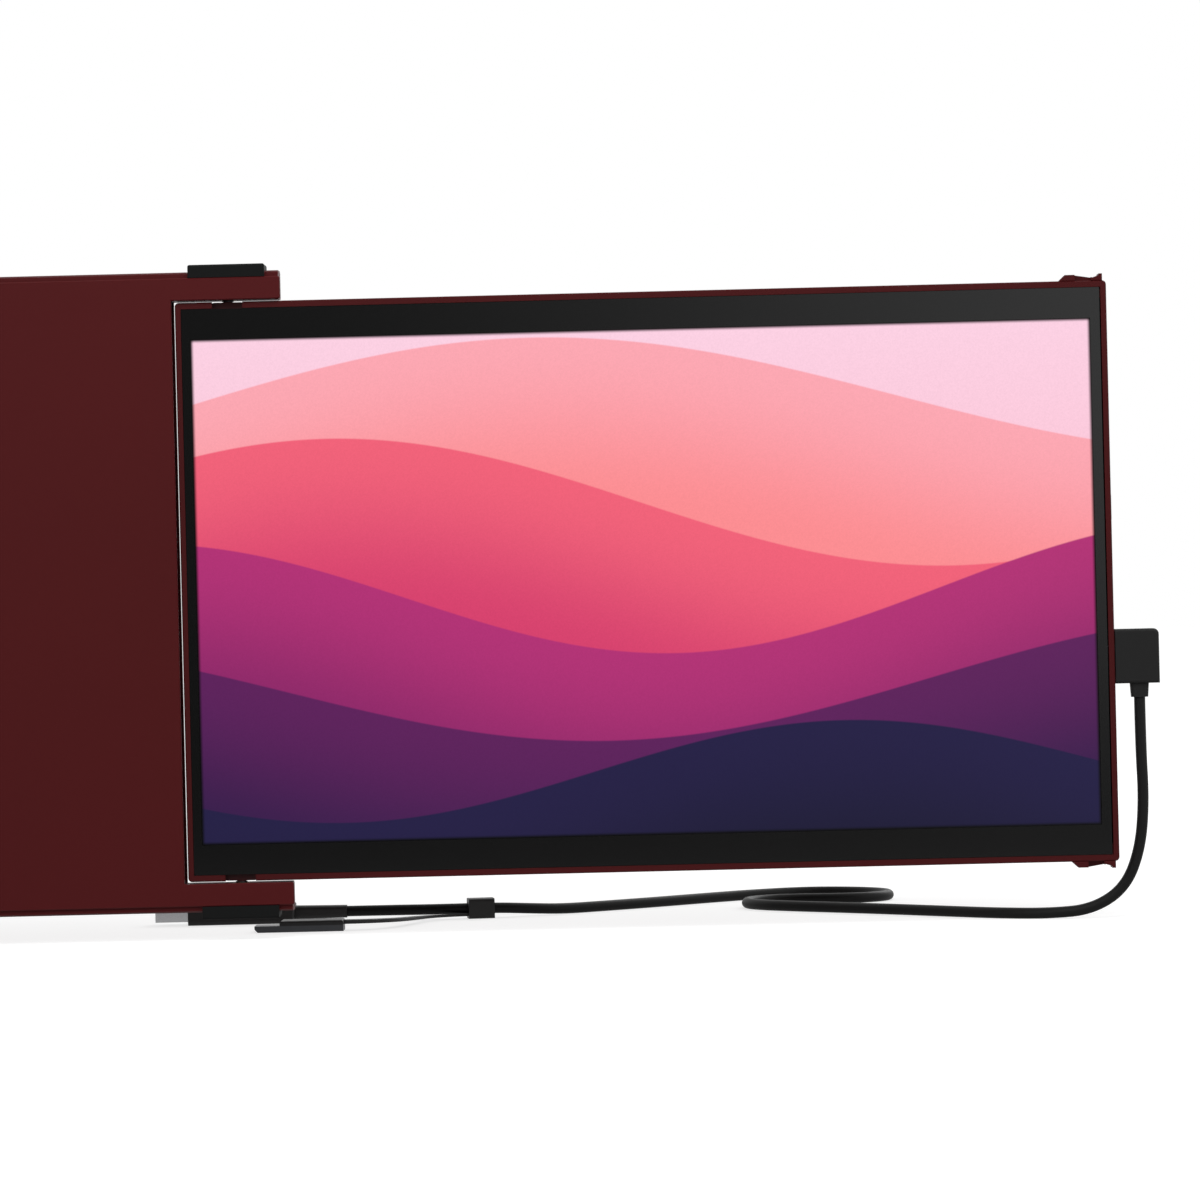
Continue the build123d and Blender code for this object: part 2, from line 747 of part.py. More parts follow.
def far_plug_relief():
    """The stiff sleeve on the cord behind the far plug."""
    z = ON_TABLE + cord_rise
    narrow = Plane(origin=(far_end_x, far_end_y, z), x_dir=(0, 1, 0), z_dir=(-1, 0, 0))
    wide = narrow.offset(far_relief_length)
    thin = RectangleRounded(far_relief_width - far_relief_taper_width,
                            far_relief_height - far_relief_taper_height, far_relief_round)
    thick = RectangleRounded(far_relief_width, far_relief_height, far_relief_round)
    return loft([(narrow * thin).face(), (wide * thick).face()])


def far_plug_body():
    """The straight plug's moulding at the cord's far end."""
    right = far_end_x - far_relief_length
    z = table_height
    body = slab(right - far_plug_length, right, far_end_y - far_plug_width / 2, far_end_y + far_plug_width / 2,
                z, z + far_plug_height)
    body = fillet(body.edges().filter_by(Axis.X), far_plug_round)
    return chamfer(body.faces().sort_by(Axis.X)[-1].edges(), far_plug_round / 3)


def far_plug_shell():
    """The metal shell of the far plug, open at its mouth over its contact strip."""
    right = far_end_x - far_relief_length - far_plug_length
    z = table_height + far_plug_height / 2
    w = far_shell_width / 2
    h = far_shell_height / 2
    t = shell_wall
    shell = slab(right - far_shell_reach, right, far_end_y - w, far_end_y + w, z - h, z + h)
    shell -= slab(right - far_shell_reach - 1, right - t, far_end_y - w + t, far_end_y + w - t, z - h + t, z + h - t)
    window_left = right - far_shell_reach + shell_window_from_mouth
    for y in spread(2, shell_window_pitch, far_end_y):
        shell -= slab(window_left, window_left + shell_window_length, y - shell_window_width / 2,
                      y + shell_window_width / 2, z - h - 1, z + h + 1)
    return shell + slab(right - far_shell_reach + t, right - t, far_end_y - w + t, far_end_y + w - t, z, z + h - t)


def adapter_body():
    """The tethered adapter's moulding."""
    right = adapter_x + adapter_length
    w = adapter_width / 2
    top = table_height + adapter_height
    body = slab(adapter_x, right, adapter_y - w, adapter_y + w, table_height + adapter_shell_height, top)
    return fillet(body.edges().group_by(Axis.Z)[-1], adapter_round)


def adapter_shell():
    """The adapter's metal base, which ends in its plug."""
    right = adapter_x + adapter_length
    left = right - adapter_shell_length
    w = adapter_shell_width / 2
    base = slab(left, right, adapter_y - w, adapter_y + w, table_height, table_height + adapter_shell_height)
    nose = base.edges().group_by(Axis.X)[0].group_by(Axis.Z)[0]
    return chamfer(nose, adapter_shell_height / 2)


def adapter_tether():
    """The flat strap from the adapter to the collar, wide at the adapter."""
    start = Vector(adapter_x + adapter_length, adapter_y, table_height + adapter_shell_height + tether_thickness / 2)
    place = collar_place()
    foot = table_height + collar_round + tether_thin_thickness / 2
    aside = collar_width / 2 - collar_round - tether_width_thin / 2
    end = place.from_local_coords(Vector(collar_length / 2, aside, 0))
    end = Vector(end.X, end.Y, foot)
    path = Spline(start, end, tangents=[Vector(1, 0, 0), -place.x_dir])
    wide = Plane(origin=start, x_dir=(0, 1, 0), z_dir=(1, 0, 0)) * Rectangle(tether_width_wide, tether_thickness)
    thin = Plane(origin=end, x_dir=-place.y_dir, z_dir=-place.x_dir) * Rectangle(
        tether_width_thin, tether_thin_thickness)
    return sweep([wide, thin], path=path, multisection=True)


NODES = {
    "front_plate": front_plate,
    "rear_panel": rear_panel,
    "upper_rail": upper_rail,
    "lower_rail": lambda: lower(upper_rail()),
    "end_rail": end_rail,
    "lid_magnets": lid_magnets,
    "rear_panel_screws": rear_panel_screws,
    "glide_strips": glide_strips,
    "upper_hinge_cap": upper_hinge_cap,
    "lower_hinge_cap": lambda: lower(upper_hinge_cap()),
    "cap_screws": cap_screws,
    "upper_hinge_bush": upper_hinge_bush,
    "lower_hinge_bush": lambda: lower(upper_hinge_bush()),
    "upper_hinge_pin": upper_hinge_pin,
    "lower_hinge_pin": lambda: lower(upper_hinge_pin()),
    "upper_carriage": upper_carriage,
    "lower_carriage": lambda: lower(upper_carriage()),
    "friction_washers": friction_washers,
    "hinge_nuts": hinge_nuts,
    "monitor_frame": monitor_frame,
    "monitor_rear_cover": monitor_rear_cover,
    "rear_cover_plugs": rear_cover_plugs,
    "screen_bezel": screen_bezel,
    "display_panel": display_panel,
    "backlight_unit": backlight_unit,
    "controller_board": controller_board,
    "display_ribbon": display_ribbon,
    "usb_port": usb_port,
    "upper_end_stop": upper_end_stop,
    "lower_end_stop": lambda: lower(upper_end_stop()),
    "power_button": power_button,
    "button_switch": button_switch,
    "monitor_plug_body": monitor_plug_body,
    "monitor_plug_tongue": monitor_plug_tongue,
    "monitor_plug_neck": monitor_plug_neck,
    "usb_cord": usb_cord,
    "tether_collar": tether_collar,
    "far_plug_relief": far_plug_relief,
    "far_plug_body": far_plug_body,
    "far_plug_shell": far_plug_shell,
    "adapter_body": adapter_body,
    "adapter_shell": adapter_shell,
    "adapter_tether": adapter_tether,
}

os.makedirs("parts", exist_ok=True)
for name, make in NODES.items():
    part = make()
    part.label = name
    export_step(part, f"parts/{name}.step")
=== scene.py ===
# %% [markdown]
# # A laptop screen extender, dressed
#
# The object is a second screen for a laptop. A flat sleeve clings to the back of the laptop's lid with
# magnets. A thin monitor rides out of the sleeve on two carriages, and swings on pins in the sleeve's two
# arms. A short flexible cord brings picture and power through a plug at the monitor's outer edge.
#
# The solid pieces come in from the frame at their real size, and this script gives them their finish, lays
# the cord, and adds the small parts that only show close up. Lengths are in metres, apart from the cord's
# route. +X runs along the monitor, +Y away from the user, +Z up, and the origin is the middle of the
# sleeve's front face.

# %% Load the frame
import math

import bmesh
import bpy
from mathutils import Matrix, Vector


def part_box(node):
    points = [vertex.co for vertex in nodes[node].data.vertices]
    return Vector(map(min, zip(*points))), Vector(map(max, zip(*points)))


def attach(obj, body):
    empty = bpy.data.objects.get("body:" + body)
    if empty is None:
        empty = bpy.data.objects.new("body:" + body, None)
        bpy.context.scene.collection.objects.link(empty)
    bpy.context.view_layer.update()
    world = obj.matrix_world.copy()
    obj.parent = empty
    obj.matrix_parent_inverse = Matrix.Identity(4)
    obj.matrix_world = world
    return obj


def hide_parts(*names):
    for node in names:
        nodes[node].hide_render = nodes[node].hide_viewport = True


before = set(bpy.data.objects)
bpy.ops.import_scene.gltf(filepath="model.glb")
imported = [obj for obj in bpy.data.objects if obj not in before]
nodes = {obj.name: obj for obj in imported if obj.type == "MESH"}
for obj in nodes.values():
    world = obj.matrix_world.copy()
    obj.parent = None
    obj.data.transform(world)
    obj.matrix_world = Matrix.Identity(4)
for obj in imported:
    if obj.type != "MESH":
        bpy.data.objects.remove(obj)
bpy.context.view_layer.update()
MM = 0.001
print("pieces in the frame:", len(nodes))

# %% [markdown]
# ## Camera
#
# The eye is level with the middle of the monitor and a long way off, so the two arms look almost parallel.
# A long lens does that: 150 mm on a 36 mm wide sensor. The camera leans a little to one side, which tips
# the whole object by the same small angle.

# %% Camera
CAMERA_PLACE = Vector((304.2, -1732.2, -6.0)) * MM
CAMERA_YAW = math.radians(0.743)
CAMERA_ROLL = math.radians(-1.370)
LOOK_LEVEL = math.radians(90)  # a new camera looks straight down
LENS, SENSOR_WIDTH = 150.0, 36.0  # in millimetres, as Blender counts them
NEAREST_SEEN, FARTHEST_SEEN = 0.05, 60.0


def linked(name, data):
    """A new object that shows this data, in the scene and at the origin."""
    thing = bpy.data.objects.new(name, data)
    bpy.context.scene.collection.objects.link(thing)
    return thing


camera_data = bpy.data.cameras.new("camera")
camera_data.lens = LENS
camera_data.sensor_width = SENSOR_WIDTH
camera_data.clip_start = NEAREST_SEEN
camera_data.clip_end = FARTHEST_SEEN
camera = linked("camera", camera_data)
camera.matrix_world = (
    Matrix.Translation(CAMERA_PLACE)
    @ Matrix.Rotation(CAMERA_YAW, 4, "Z")
    @ Matrix.Rotation(LOOK_LEVEL, 4, "X")
    @ Matrix.Rotation(CAMERA_ROLL, 4, "Z")
)
bpy.context.scene.camera = camera
print("camera at", tuple(round(c, 3) for c in CAMERA_PLACE))

# %% [markdown]
# ## Cord
#
# The cord is 3.9 mm thick and 559 mm long from its plug at the monitor to its plug for the laptop. It drops
# straight out of the angled plug, bends on to the table, doubles back in a loose fold behind the monitor and
# then runs left. It could be dropped on the table by a simulation, but then its folds would fall anywhere. A
# smooth spline follows a known route, and never bends in a corner, as a flexible jacket never does. The
# curve is given thickness by its round bevel.

# %% The cord's route, in millimetres
CORD_RADIUS = 1.95 * MM
ON_TABLE = -119.05  # half the cord's thickness above the table
AT_FAR_PLUG = -117.35
ROUTE = [
    (468.15, 6.1, -44.05),
    (468.15, 6.1, -62.0),
    (468.9, 7.2, -80.0),
    (467.4, 8.8, -97.0),
    (462.0, 10.4, -110.5),
    (450.5, 11.6, -117.8),
    (436.0, 14.6, ON_TABLE),
    (419.5, 22.0, ON_TABLE),
    (402.5, 38.5, ON_TABLE),
    (384.5, 56.5, ON_TABLE),
    (366.0, 73.5, ON_TABLE),
    (349.5, 87.5, ON_TABLE),
    (336.6, 100.0, ON_TABLE),
    (330.8, 113.0, ON_TABLE),
    (334.2, 126.2, ON_TABLE),
    (346.0, 133.0, ON_TABLE),
    (366.5, 128.6, ON_TABLE),
    (379.6, 132.4, ON_TABLE),
    (386.6, 143.8, ON_TABLE),
    (383.6, 158.0, ON_TABLE),
    (372.0, 170.0, ON_TABLE),
    (355.0, 176.0, ON_TABLE),
    (335.5, 166.0, ON_TABLE),
    (317.0, 150.0, ON_TABLE),
    (297.0, 131.0, ON_TABLE),
    (279.0, 116.0, ON_TABLE),
    (264.0, 104.5, ON_TABLE),
    (252.5, 97.5, -118.2),
    (240.0, 93.0, AT_FAR_PLUG),
    (219.0, 90.2, AT_FAR_PLUG),
    (202.0, 92.0, AT_FAR_PLUG),
    (185.5, 92.0, AT_FAR_PLUG),
]
straight = sum(math.dist(first, second) for first, second in zip(ROUTE, ROUTE[1:]))
print("points along the cord:", len(ROUTE), "and from point to point, in mm:", round(straight, 1))

# %% The cord's jacket
CURVE_ORDER = 3  # each stretch heeds three points, so it is smooth and still keeps close to them
STEPS_BETWEEN_POINTS = 16
JACKET_ROUNDNESS = 6  # gives 16 flat strips round the jacket

cord_data = bpy.data.curves.new("usb_cord_jacket", "CURVE")
cord_data.dimensions = "3D"
cord_data.bevel_depth = 1.0  # times each point's own radius
cord_data.bevel_resolution = JACKET_ROUNDNESS
cord_data.resolution_u = STEPS_BETWEEN_POINTS
cord_data.use_fill_caps = True
spline = cord_data.splines.new("NURBS")
spline.points.add(len(ROUTE) - 1)  # a new spline already has one point
for point, place in zip(spline.points, ROUTE):
    point.co = (*(Vector(place) * MM), 1.0)  # the last number is its weight, the same for all
    point.radius = CORD_RADIUS
spline.order_u = CURVE_ORDER
spline.use_endpoint_u = True
cord = linked("usb_cord_jacket", cord_data)
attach(cord, "monitor")
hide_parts("usb_cord")
print("jacket's diameter in mm:", 2 * CORD_RADIUS / MM)

# %% [markdown]
# ## Colours and nodes
#
# Shaders and repeated shapes are both made by nodes, which are small steps joined by links from socket to
# socket. One function adds any of them, sets it up and links it. A colour is written as it is seen on a
# screen, as a hex value, and another function turns it into the linear numbers that the renderer works with.

# %% Helpers for colours and nodes
def colour(hex_value):
    """Linear RGBA of a colour that is written as it is seen, by the sRGB standard's curve."""
    channels = [int(hex_value[i:i + 2], 16) / 255 for i in (1, 3, 5)]
    linear = [c / 12.92 if c <= 0.04045 else ((c + 0.055) / 1.055) ** 2.4 for c in channels]
    return (*linear, 1.0)


def add(tree, kind, inputs=None, **settings):
    """Adds a node with its own settings. An input is a value, a socket, or a node for its first output."""
    node = tree.nodes.new(kind)
    for name, value in settings.items():
        setattr(node, name, value)
    for name, value in (inputs or {}).items():
        if isinstance(value, bpy.types.Node):
            value = next(socket for socket in value.outputs if socket.enabled)
        if isinstance(value, bpy.types.NodeSocket):
            tree.links.new(value, node.inputs[name])
        else:
            node.inputs[name].default_value = value
    return node


print("white is", colour("#FFFFFF"))

# %% [markdown]
# ## Floor, sky and lamps
#
# The object stands in a white studio whose wall is behind it, with the dim rest of the room in front. The
# floor is a pale diffuse sheet with a little light of its own that only the camera and mirrors see, so it
# reads as white and still takes the object's soft shadow. The sky is white to the camera, bright behind and
# dim in front to a shiny surface, with a broad soft window at the right that leaves a sheen on black. To
# everything else it is a plain grey dome. A lamp above and near makes the top of the object a little brighter
# than its foot, a softbox at the left rounds off its edges, and one behind lights the back and the cord.

# %% What the camera and mirrors see
ROOM_DIM = 0.06
BACK_STARTS, BACK_ENDS = -0.5, 0.5  # on the way from the dim room in front to the white wall behind


def show_white(tree, along_y, plain, front=ROOM_DIM):
    """White to the camera, bright behind and dim in front to mirrors and glass, plain to all else."""
    rays = add(tree, "ShaderNodeLightPath").outputs
    wall = add(
        tree, "ShaderNodeMapRange",
        {"Value": along_y, "From Min": BACK_STARTS, "From Max": BACK_ENDS, "To Min": front},
        interpolation_type="SMOOTHSTEP",
    )
    mirror = add(
        tree, "ShaderNodeMath", {0: rays["Is Glossy Ray"], 1: rays["Is Transmission Ray"]},
        operation="MAXIMUM",
    )
    reflected = add(tree, "ShaderNodeMix", {"Factor": mirror, "A": plain, "B": wall}, data_type="FLOAT")
    return add(
        tree, "ShaderNodeMix", {"Factor": rays["Is Camera Ray"], "A": reflected, "B": 1.0},
        data_type="FLOAT",
    )


print("a mirror sees", ROOM_DIM, "in front and 1.0 behind")

# %% The floor's sheet
TABLE_HEIGHT = -121.0 * MM
FLOOR_REACH = 12.0

bpy.ops.mesh.primitive_plane_add(size=2 * FLOOR_REACH, location=(0, 0, 0))
floor = bpy.context.object
floor.name = "floor"
floor.data.transform(Matrix.Translation((0, 0, TABLE_HEIGHT)))
print("floor at", TABLE_HEIGHT)

# %% The floor's finish
FLOOR_TONE = "#B9B9B9"
GLOW_STARTS, GLOW_ENDS = 0.1, 1.6  # metres behind the sleeve's front
GLOW_NEAR, GLOW_FAR = 0.68, 0.84


def new_material(name):
    """A material with an empty tree, and the tree."""
    material = bpy.data.materials.new(name)
    material.use_nodes = True
    material.node_tree.nodes.clear()
    return material, material.node_tree


# matt paint on board: pale, even, and with no gleam at all
floor_finish, tree = new_material("pale studio floor")
place = add(tree, "ShaderNodeTexCoord").outputs["Object"]
along_y = add(tree, "ShaderNodeSeparateXYZ", {"Vector": place}).outputs["Y"]
level = add(tree, "ShaderNodeMapRange", {
    "Value": along_y, "From Min": GLOW_STARTS, "From Max": GLOW_ENDS, "To Min": GLOW_NEAR, "To Max": GLOW_FAR,
})
glow = add(tree, "ShaderNodeMath", {0: show_white(tree, along_y, 0.0), 1: level}, operation="MULTIPLY")
pale = add(
    tree, "ShaderNodeMix",
    {"Factor": show_white(tree, along_y, 1.0), "A": colour("#000000"), "B": colour(FLOOR_TONE)},
    data_type="RGBA",
)
matt = add(tree, "ShaderNodeBsdfDiffuse", {"Color": pale})
own_light = add(tree, "ShaderNodeEmission", {"Strength": glow})
both = add(tree, "ShaderNodeAddShader", {0: matt, 1: own_light})
add(tree, "ShaderNodeOutputMaterial", {"Surface": both})
floor.data.materials.append(floor_finish)
print("nodes in the floor's finish:", len(tree.nodes))

# %% Sky
SKY_LEVEL = 0.5
WINDOW_LEVEL = 1.4
SIDE_STARTS, SIDE_ENDS = -0.08, 0.19  # the window's soft left side, as the X of a direction
SILL_STARTS, SILL_ENDS = -0.05, 0.012  # its soft lower side, as the Z of a direction

world = bpy.data.worlds.new("studio")
world.use_nodes = True
bpy.context.scene.world = world
tree = world.node_tree
tree.nodes.clear()
direction = add(tree, "ShaderNodeTexCoord").outputs["Generated"]
heading = add(tree, "ShaderNodeSeparateXYZ", {"Vector": direction}).outputs
to_right, upward = (
    add(
        tree, "ShaderNodeMapRange", {"Value": heading[axis], "From Min": starts, "From Max": ends},
        interpolation_type="SMOOTHSTEP",
    )
    for axis, starts, ends in (("X", SIDE_STARTS, SIDE_ENDS), ("Z", SILL_STARTS, SILL_ENDS))
)
window = add(tree, "ShaderNodeMath", {0: to_right, 1: upward}, operation="MULTIPLY")
room = add(tree, "ShaderNodeMapRange", {"Value": window, "To Min": ROOM_DIM, "To Max": WINDOW_LEVEL})
strength = show_white(tree, heading["Y"], SKY_LEVEL, room)
dome = add(tree, "ShaderNodeBackground", {"Color": colour("#FFFFFF"), "Strength": strength})
add(tree, "ShaderNodeOutputWorld", {"Surface": dome})
print("sky lights matt surfaces at", SKY_LEVEL)

# %% Lamps
MIDDLE = Vector((0.17, 0.0, 0.0))


def softbox(name, place, width, height, power):
    """A broad rectangular lamp that faces the object's middle and isn't seen itself."""
    data = bpy.data.lights.new(name, "AREA")
    data.shape = "RECTANGLE"
    data.size = width
    data.size_y = height
    data.energy = power
    lamp = linked(name, data)
    lamp.location = place
    lamp.rotation_euler = (MIDDLE - Vector(place)).to_track_quat("-Z", "Y").to_euler()
    lamp.visible_camera = False


# name, place, width and height in metres, and power in watts
softbox("near lamp above", (0.35, -0.6, 0.72), 0.8, 0.5, 5.0)
softbox("softbox at the left", (-0.9, -1.5, 0.75), 1.0, 1.0, 8.0)
softbox("softbox behind", (0.95, 1.3, 0.8), 0.8, 0.8, 7.0)
bpy.context.scene.view_settings.view_transform = "Standard"

# %% [markdown]
# ## Mouldings
#
# Most of the case is a satin moulding in dark maroon, with a very fine even grain from the mould. Grain of
# a twentieth of a millimetre is too fine to show here, so it is drawn about ten times as coarse and very
# shallow. Slow changes of tone, as real mouldings have, keep the long flat faces from looking painted on.
# A scanned texture could give both, but noise in the object's own space needs no unwrapping and shows no
# seam. Each finish is a name, a tone and a darker one, a roughness, the size and depth of its grain, and
# how much of a mirror its skin is.

# %% A moulded plastic
DRIFT = 90.0 * MM  # from one slow change of tone to the next
GLOSS_SPREAD = 0.1  # share of the roughness by which the grain moves it up and down
GRAIN_STRENGTH = 0.5


def moulded(name, tone, dark_tone, roughness, grain, depth, specular=0.5):
    """Moulded plastic: tone drifts slowly towards dark_tone, and the skin has a fine even grain."""
    material, tree = new_material(name)
    place = add(tree, "ShaderNodeTexCoord").outputs["Object"]
    drift = add(tree, "ShaderNodeTexNoise", {"Vector": place, "Scale": 1 / DRIFT, "Detail": 3.0})
    tones = {"Factor": drift, "A": colour(tone), "B": colour(dark_tone)}
    tint = add(tree, "ShaderNodeMix", tones, data_type="RGBA")
    skin = add(tree, "ShaderNodeTexNoise", {"Vector": place, "Scale": 1 / grain, "Detail": 2.0})
    gloss = add(tree, "ShaderNodeMapRange", {
        "Value": skin, "To Min": roughness * (1 - GLOSS_SPREAD), "To Max": roughness * (1 + GLOSS_SPREAD),
    })
    bump = add(tree, "ShaderNodeBump", {"Height": skin, "Distance": depth, "Strength": GRAIN_STRENGTH})
    surface = add(tree, "ShaderNodeBsdfPrincipled", {
        "Base Color": tint, "Roughness": gloss, "Normal": bump, "Specular IOR Level": specular,
    })
    add(tree, "ShaderNodeOutputMaterial", {"Surface": surface})
    return material


# ABS, injection moulded and sprayed with a satin lacquer: even, soft, with almost no mirror in it
maroon = moulded("lacquered maroon ABS", "#501315", "#4A1113", 0.48, 0.6 * MM, 0.012 * MM, 0.12)
# the same plastic on the monitor, a shade deeper because two mouldings never match quite
case = moulded("lacquered maroon ABS case", "#481113", "#421011", 0.45, 0.6 * MM, 0.012 * MM, 0.12)
print("maroon is", colour("#501315"))

# %% The sleeve and the monitor's case
def dress(material, *node_names):
    """Gives nodes of the frame their finish."""
    for name in node_names:
        slots = nodes[name].data.materials
        slots.clear()
        slots.append(material)


dress(maroon, "front_plate", "rear_panel", "upper_rail", "lower_rail", "end_rail")
dress(case, "monitor_frame", "monitor_rear_cover", "upper_end_stop", "lower_end_stop")
print("finishes so far:", len(bpy.data.materials))

# %% Other mouldings and the felt
# acetal, milled and left as cut: waxy and a little shinier than the case
slick = moulded("acetal carriage", "#3C1012", "#350E10", 0.38, 0.8 * MM, 0.006 * MM, 0.2)
dress(slick, "upper_carriage", "lower_carriage")
# glass-filled nylon with a spark-eroded mould texture: deep black, nearly matt
cap_black = moulded("glass-filled nylon cap", "#101111", "#0D0E0E", 0.62, 0.5 * MM, 0.02 * MM, 0.12)
dress(cap_black, "upper_hinge_cap", "lower_hinge_cap", "power_button", "rear_cover_plugs")
# polycarbonate sheet printed black from behind: a clean dark gloss that picks up the window
bezel_black = moulded("polycarbonate bezel", "#0D0D0D", "#0B0B0B", 0.16, 0.7 * MM, 0.002 * MM, 0.5)
dress(bezel_black, "screen_bezel")
# short-pile polyester felt: no shine at all
felt = moulded("polyester glide felt", "#1C1C1C", "#141414", 0.95, 0.4 * MM, 0.08 * MM, 0.1)
dress(felt, "glide_strips")
print("finishes so far:", len(bpy.data.materials))

# %% The cord and the mouldings on it
ON_THE_CORD = [
    "monitor_plug_body", "monitor_plug_tongue", "monitor_plug_neck", "tether_collar", "far_plug_relief",
    "far_plug_body", "far_plug_shell", "adapter_body", "adapter_shell", "adapter_tether",
]
# PVC moulded over the monitor's plug in a matt mould: softer and greyer than the caps
plug_black = moulded("PVC overmould", "#232323", "#1F1F1F", 0.6, 0.5 * MM, 0.015 * MM, 0.15)
# the same PVC from a smoother mould at the far end, whose rounded edges pick up a thin line of light
smooth_black = moulded("smooth PVC overmould", "#242424", "#202020", 0.5, 0.5 * MM, 0.01 * MM, 0.4)
for name in ON_THE_CORD:  # the three of them that are metal get their own finish below
    dress(plug_black if name.startswith("monitor") else smooth_black, name)
# extruded TPE: smooth along its length, and so dull that its top hardly lights up
jacket = moulded("TPE cord jacket", "#1A1A1A", "#171717", 0.5, 0.5 * MM, 0.008 * MM, 0.15)
cord_data.materials.append(jacket)
print("pieces of the frame on the cord:", len(ON_THE_CORD))

# %% [markdown]
# ## Metals
#
# Pins, nuts and screws are steel, the bushes are bronze, and the plug's shell is sheet plated with nickel. A
# metal has no colour under its shine: the base colour is what it reflects. Fine turning or drawing marks lie
# as rings round an upright pin, so their noise is squeezed along Z, and they change how rough the surface
# is. That shows in how the light breaks up on it, where a drawn line would only look like dirt.

# %% A worked metal
MARKS_SQUEEZE = (1.0, 1.0, 8.0)
MARKS_SPREAD = 0.08
MARKS_DEPTH = 0.004 * MM
MARKS_STRENGTH = 0.4


def metal(name, tone, roughness, scratch):
    """Worked metal: fine marks run round or along it and change how rough it is."""
    material, tree = new_material(name)
    place = add(tree, "ShaderNodeTexCoord").outputs["Object"]
    squeezed = add(tree, "ShaderNodeMapping", {"Vector": place, "Scale": MARKS_SQUEEZE})
    marks = add(tree, "ShaderNodeTexNoise", {"Vector": squeezed, "Scale": 1 / scratch, "Detail": 3.0})
    gloss = add(tree, "ShaderNodeMapRange", {
        "Value": marks, "To Min": roughness - MARKS_SPREAD, "To Max": roughness + MARKS_SPREAD,
    })
    bump = add(tree, "ShaderNodeBump", {"Height": marks, "Distance": MARKS_DEPTH, "Strength": MARKS_STRENGTH})
    surface = add(tree, "ShaderNodeBsdfPrincipled", {
        "Base Color": colour(tone), "Metallic": 1.0, "Roughness": gloss, "Normal": bump,
    })
    add(tree, "ShaderNodeOutputMaterial", {"Surface": surface})
    return material


print("marks are squeezed", MARKS_SQUEEZE)

# %% Metals
# free-cutting steel, turned and oiled: grey with fine rings
steel = metal("turned steel", "#A9A9AC", 0.3, 0.5 * MM)
dress(steel, "friction_washers", "hinge_nuts")
# the same steel hardened and blackened, which keeps it from showing between arm and monitor
black_steel = metal("blackened steel", "#3A3A3C", 0.38, 0.5 * MM)
dress(black_steel, "upper_hinge_pin", "lower_hinge_pin")
# drawn brass sheet plated with nickel: bright, with hardly any tint of its own
nickel = metal("nickel plate", "#C9CACC", 0.2, 0.8 * MM)
dress(nickel, "monitor_plug_tongue", "far_plug_shell", "lid_magnets")
# stainless sheet, tinned where it is soldered: duller, and its tone is darkened as painted shade, because it
# sits in the dark of the case
tinned = metal("socket shell in painted shade", "#3E3E40", 0.45, 0.8 * MM)
dress(tinned, "usb_port")
# zinc, die cast under a clear lacquer: a plain dark grey with a soft shine
zinc = metal("satin grey zinc", "#4E4F52", 0.35, 0.8 * MM)
dress(zinc, "adapter_shell")
# oil-soaked bronze powder, pressed and sintered: brownish yellow and grainy
bronze = metal("sintered bronze", "#B08A4E", 0.45, 0.6 * MM)
dress(bronze, "upper_hinge_bush", "lower_hinge_bush")
# rolled aluminium, stamped: pale, with marks along the sheet
aluminium = metal("pressed aluminium sheet", "#C4C5C7", 0.38, 1.0 * MM)
dress(aluminium, "backlight_unit")
print("finishes so far:", len(bpy.data.materials))

# %% [markdown]
# ## Inner parts
#
# Inside the case are a circuit board, the ribbon to the panel, and the switch under the power button. Each
# could be drawn with all its small detail, but they are shut in, so a true colour and gloss are enough. Thin
# lacquer and film behave much as a moulded skin does, and take the same finish with other numbers.

# %% Inner parts
# epoxy solder mask, screened over glass cloth and cured: thin, green and glossy
solder_mask = moulded("green solder mask", "#1C5A34", "#17502D", 0.35, 1.0 * MM, 0.01 * MM)
dress(solder_mask, "controller_board")
# polyimide film, laminated over copper: translucent amber, seen as a solid colour
film = moulded("amber ribbon film", "#B9772A", "#AA6B22", 0.4, 1.0 * MM, 0.005 * MM)
dress(film, "display_ribbon")
# nylon, injection moulded: plain black, a little dusty
switch_black = moulded("black switch body", "#232323", "#1D1D1D", 0.5, 0.6 * MM, 0.01 * MM)
dress(switch_black, "button_switch")
print("finishes so far:", len(bpy.data.materials))

# %% [markdown]
# ## Screws
#
# Small countersunk screws hold the caps and the sleeve's back sheet. All twelve are the same screw, so one
# Geometry Nodes tree makes it once and puts a copy on each point that it is given. Every point carries the
# direction in which its screw's head faces. The head is a short drum over a cone, the shank a thin cylinder,
# and the cross is cut by a Boolean with two flat blocks, because that leaves the crisp walls of a driven
# recess. Instances are lost when the model is exported, so the tree ends by making them real.

# %% The screw's sizes
def new_tree(name, sizes):
    """A tree of geometry with one mesh going in, named sizes and a material, and one mesh coming out."""
    tree = bpy.data.node_groups.new(name, "GeometryNodeTree")
    tree.interface.new_socket("Geometry", in_out="INPUT", socket_type="NodeSocketGeometry")
    tree.interface.new_socket("Geometry", in_out="OUTPUT", socket_type="NodeSocketGeometry")
    for size in sizes:
        tree.interface.new_socket(size, in_out="INPUT", socket_type="NodeSocketFloat")
    tree.interface.new_socket("Finish", in_out="INPUT", socket_type="NodeSocketMaterial")
    return tree, add(tree, "NodeGroupInput").outputs


screw_tree, size = new_tree("countersunk_screws", (
    "Head Radius", "Head Height", "Rim Height", "Shank Radius", "Length", "Cross Length", "Cross Width",
    "Cross Depth",
))
print("what goes into the screw's tree:", [socket.name for socket in size if socket.name])

# %% The solid screw
SCREW_SIDES = 32


